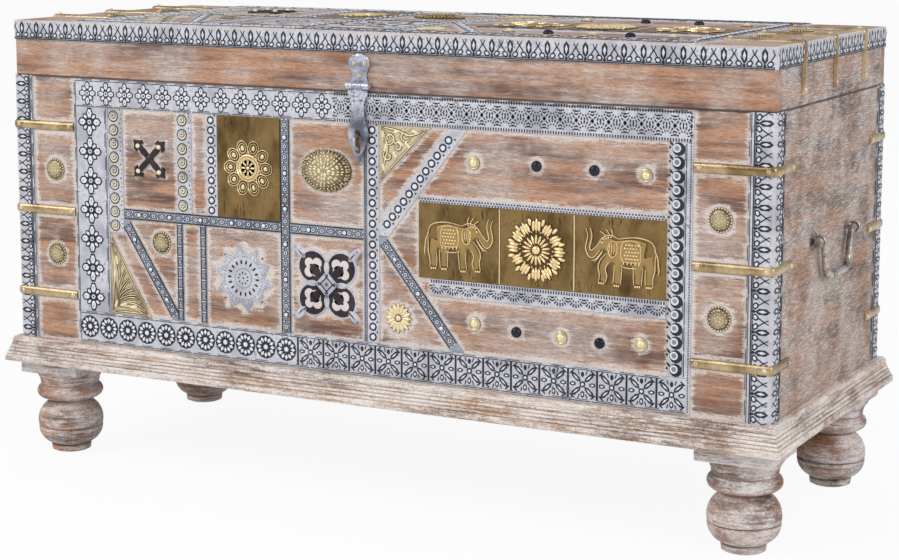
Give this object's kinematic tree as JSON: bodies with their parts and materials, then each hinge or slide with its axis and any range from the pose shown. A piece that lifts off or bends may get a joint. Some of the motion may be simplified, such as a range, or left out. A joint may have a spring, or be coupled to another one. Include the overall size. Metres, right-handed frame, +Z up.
{
  "type": "dowry chest",
  "caption": "Boarded storage chest on turned feet with a moulded plinth, hinged lid, hasp and staple, side bails and embossed sheet-metal cladding.",
  "frame": {"origin": "on the floor under the centre of the chest", "axes": "+X along the chest's length to the right seen from the front, +Y to the back, +Z up; the hasp is on the -Y side"},
  "size_m": [1.137, 0.459, 0.6175],
  "materials": {
    "case_wood": "worn whitewash over brown wood, matt",
    "inner_wood": "bare oiled wood, matt",
    "plinth_wood": "worn whitewash over brown wood, satin",
    "foot_wood": "turned, worn whitewash over brown wood, satin",
    "white_metal": "embossed white metal with dark patina",
    "dark_metal": "embossed blue-grey metal, worn",
    "old_brass": "antique, worn",
    "black_iron": "blackened, satin",
    "grey_iron": "hammered, bare"
  },
  "bodies": {
    "chest": {"front_panel": "case_wood", "back_panel": "case_wood", "left_panel": "case_wood", "right_panel": "case_wood", "bottom_board": "inner_wood", "plinth_front": "plinth_wood", "plinth_back": "plinth_wood", "plinth_left": "plinth_wood", "plinth_right": "plinth_wood", "foot_front_left": "foot_wood", "foot_front_right": "foot_wood", "foot_back_left": "foot_wood", "foot_back_right": "foot_wood", "foot_blocks": "foot_wood", "corner_strips": "white_metal", "corner_straps": "old_brass", "case_nails": "old_brass", "front_band_bottom": "white_metal", "front_band_top": "white_metal", "front_band_left": "white_metal", "front_band_right": "white_metal", "crescent_strips": "white_metal", "ring_strips": "white_metal", "narrow_strips": "dark_metal", "lace_strips": "white_metal", "leaf_plates": "old_brass", "flower_plate": "old_brass", "elephant_plate_left": "old_brass", "rosette_plate": "old_brass", "elephant_plate_right": "old_brass", "star_plate": "white_metal", "scroll_plate": "white_metal", "oval_boss": "old_brass", "cross_ornament": "black_iron", "medallions": "old_brass", "brass_studs": "old_brass", "iron_studs": "black_iron", "hinge_body_leaves": "black_iron", "hinge_pins": "black_iron", "staple": "grey_iron", "bail_eyes_left": "grey_iron", "bail_eyes_right": "grey_iron"},
    "lid": {"lid_board": "case_wood", "lid_front_rail": "case_wood", "lid_back_rail": "case_wood", "lid_left_rail": "case_wood", "lid_right_rail": "case_wood", "lid_rim_strips": "white_metal", "lid_top_bands": "white_metal", "lid_top_strips": "dark_metal", "lid_top_plates": "old_brass", "lid_top_bosses": "old_brass", "lid_straps": "old_brass", "lid_nails": "old_brass", "hinge_lid_leaves": "black_iron", "hasp_plate": "grey_iron", "hasp_pin": "grey_iron"},
    "hasp": {"hasp_leaf": "grey_iron"},
    "bail_left": {"bail_left": "grey_iron"},
    "bail_right": {"bail_right": "grey_iron"}
  },
  "joints": [
    {"name": "lid_hinge", "type": "hinge", "parent": "chest", "child": "lid", "pos_m": [0, 0.2162, 0.534], "axis": [-1, 0, 0], "range_deg": [0, 100]},
    {"name": "hasp_hinge", "type": "hinge", "parent": "lid", "child": "hasp", "pos_m": [0, -0.2162, 0.542], "axis": [-1, 0, 0], "range_deg": [0, 140]},
    {"name": "bail_left_swing", "type": "hinge", "parent": "chest", "child": "bail_left", "pos_m": [-0.56, 0, 0.36564], "axis": [0, 1, 0], "range_deg": [0, 90]},
    {"name": "bail_right_swing", "type": "hinge", "parent": "chest", "child": "bail_right", "pos_m": [0.56, 0, 0.36564], "axis": [0, -1, 0], "range_deg": [0, 90]}
  ]
}
